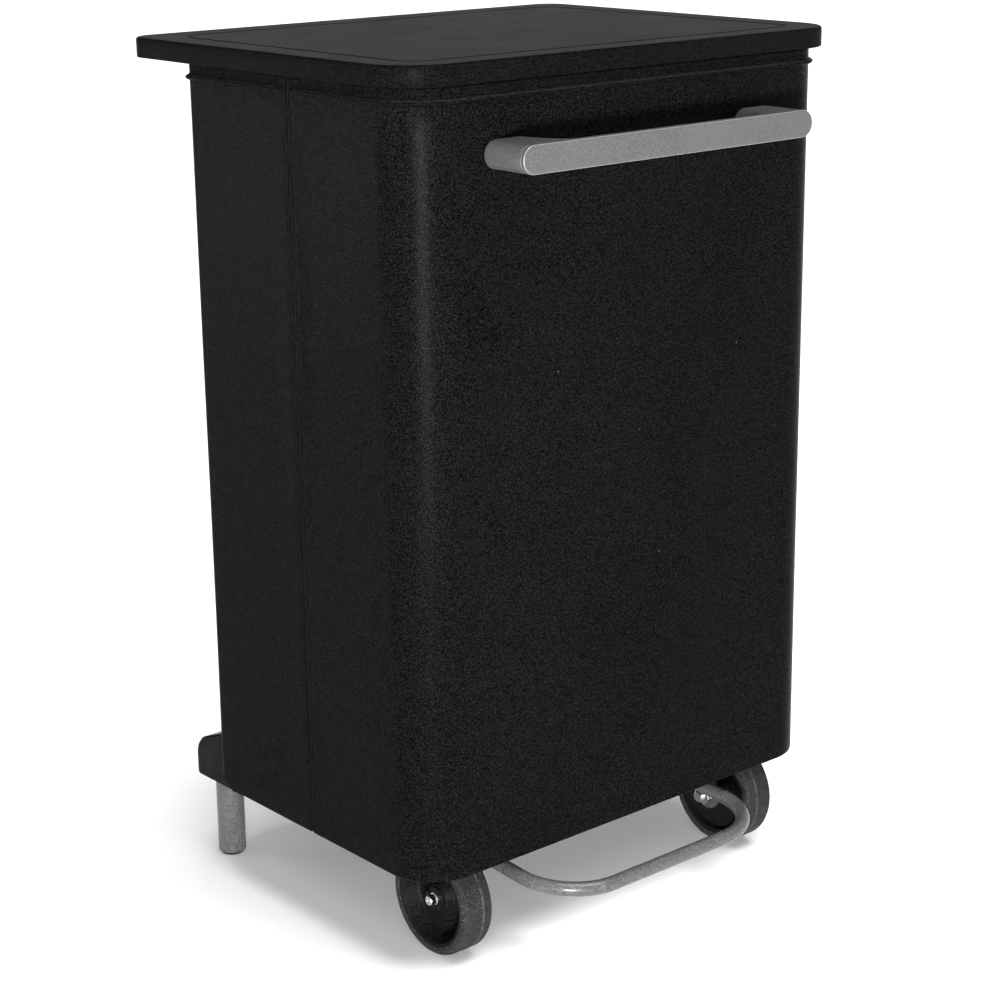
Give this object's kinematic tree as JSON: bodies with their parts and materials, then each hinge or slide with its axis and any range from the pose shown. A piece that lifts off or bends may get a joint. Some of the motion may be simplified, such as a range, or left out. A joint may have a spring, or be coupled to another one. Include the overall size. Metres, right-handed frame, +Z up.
{
  "type": "linen trolley",
  "caption": "Pedal-operated linen trolley: a sheet-steel sack cabinet with a lid, a door, a push handle, two wheels at the front and legs at the back.",
  "frame": {"origin": "on the floor, at the middle of the outer box", "axes": "+X to the right side seen from the handle, -Y towards the handle and pedal, +Z up"},
  "size_m": [0.532, 0.47, 0.832],
  "materials": {
    "black_powder_coat": "fine-textured black powder coat",
    "black_lid": "satin black with a fine moulded grain",
    "grey_moulding": "mid grey, fine moulded grain",
    "grey_paint": "grey epoxy powder coat",
    "zinc": "dull zinc plate",
    "bright_steel": "bright zinc plate",
    "tyre_rubber": "matt solid rubber, slightly dusty",
    "black_rubber": "soft black rubber",
    "black_moulding": "black moulded nylon",
    "white_nylon": "natural nylon"
  },
  "bodies": {
    "base": {"rear_shell": "black_powder_coat", "door_hinge_fixed": "black_powder_coat", "door_hinge_pins": "bright_steel", "catch_magnets": "black_moulding", "bag_tray": "zinc", "wheel_bracket_left": "zinc", "wheel_bracket_right": "zinc", "axle_bolts": "bright_steel", "axle_washers": "black_moulding", "axle_retainers": "black_moulding", "pedal_brackets": "zinc", "pedal_pivot_rod": "bright_steel", "pedal_pivot_spacers": "white_nylon", "pedal_pivot_clips": "bright_steel", "linkage_box": "black_powder_coat", "box_end_cap_left": "black_moulding", "box_end_cap_right": "black_moulding", "leg_left": "grey_paint", "leg_right": "grey_paint", "leg_plugs": "black_moulding", "leg_sockets": "zinc", "pedal_rest_buffers": "black_rubber", "rod_column": "black_powder_coat", "lid_hinge_pin": "bright_steel", "guide_bridges": "zinc", "guide_bushes": "white_nylon", "bag_hoop": "zinc", "hoop_brackets": "zinc", "bag_band": "black_rubber", "tray_bolts": "bright_steel", "shell_rivets": "black_powder_coat"},
    "door": {"door_shell": "black_powder_coat", "handle_grip": "grey_moulding", "handle_cover": "grey_moulding", "handle_screws": "bright_steel", "door_hinge_moving": "black_powder_coat", "catch_strikes": "zinc", "door_rivets": "black_powder_coat"},
    "lid": {"lid_shell": "black_lid", "lid_inner_panel": "black_lid", "lid_hinge_bracket": "zinc", "lid_lever_plates": "zinc", "lid_roller": "white_nylon", "lid_roller_pin": "bright_steel", "lid_buffers": "black_rubber", "lid_bracket_screws": "bright_steel"},
    "pedal": {"pedal_bow": "grey_paint", "pedal_rear_bar": "zinc", "pedal_pivot_sleeve": "zinc", "pedal_end_plugs": "black_moulding"},
    "lift_rod": {"push_rod": "bright_steel", "rod_foot": "white_nylon", "rod_head": "white_nylon"},
    "wheel_left": {"tyre_left": "tyre_rubber", "wheel_hub_left": "black_moulding"},
    "wheel_right": {"tyre_right": "tyre_rubber", "wheel_hub_right": "black_moulding"}
  },
  "joints": [
    {"name": "lid_hinge", "type": "hinge", "parent": "base", "child": "lid", "pos_m": [0, 0.2, 0.8], "axis": [-1, 0, 0], "range_deg": [0, 80]},
    {"name": "pedal_pivot", "type": "hinge", "parent": "base", "child": "pedal", "pos_m": [0, 0.04, 0.09], "axis": [1, 0, 0], "range_deg": [0, 10]},
    {"name": "rod_slide", "type": "slide", "parent": "base", "child": "lift_rod", "axis": [0, 0, 1], "range_m": [0, 0.02443]},
    {"name": "door_hinge", "type": "hinge", "parent": "base", "child": "door", "pos_m": [0.2605, -0.002, 0.44], "axis": [0, 0, 1], "range_deg": [0, 105]},
    {"name": "wheel_left_spin", "type": "hinge", "parent": "base", "child": "wheel_left", "pos_m": [-0.188, -0.115, 0.054], "axis": [1, 0, 0], "continuous": true},
    {"name": "wheel_right_spin", "type": "hinge", "parent": "base", "child": "wheel_right", "pos_m": [0.188, -0.115, 0.054], "axis": [1, 0, 0], "continuous": true}
  ],
  "couplings": [
    {"joint": "pedal_pivot", "follows": "lid_hinge", "ratio": 0.125},
    {"joint": "rod_slide", "follows": "lid_hinge", "m_per_rad": 0.017494}
  ]
}
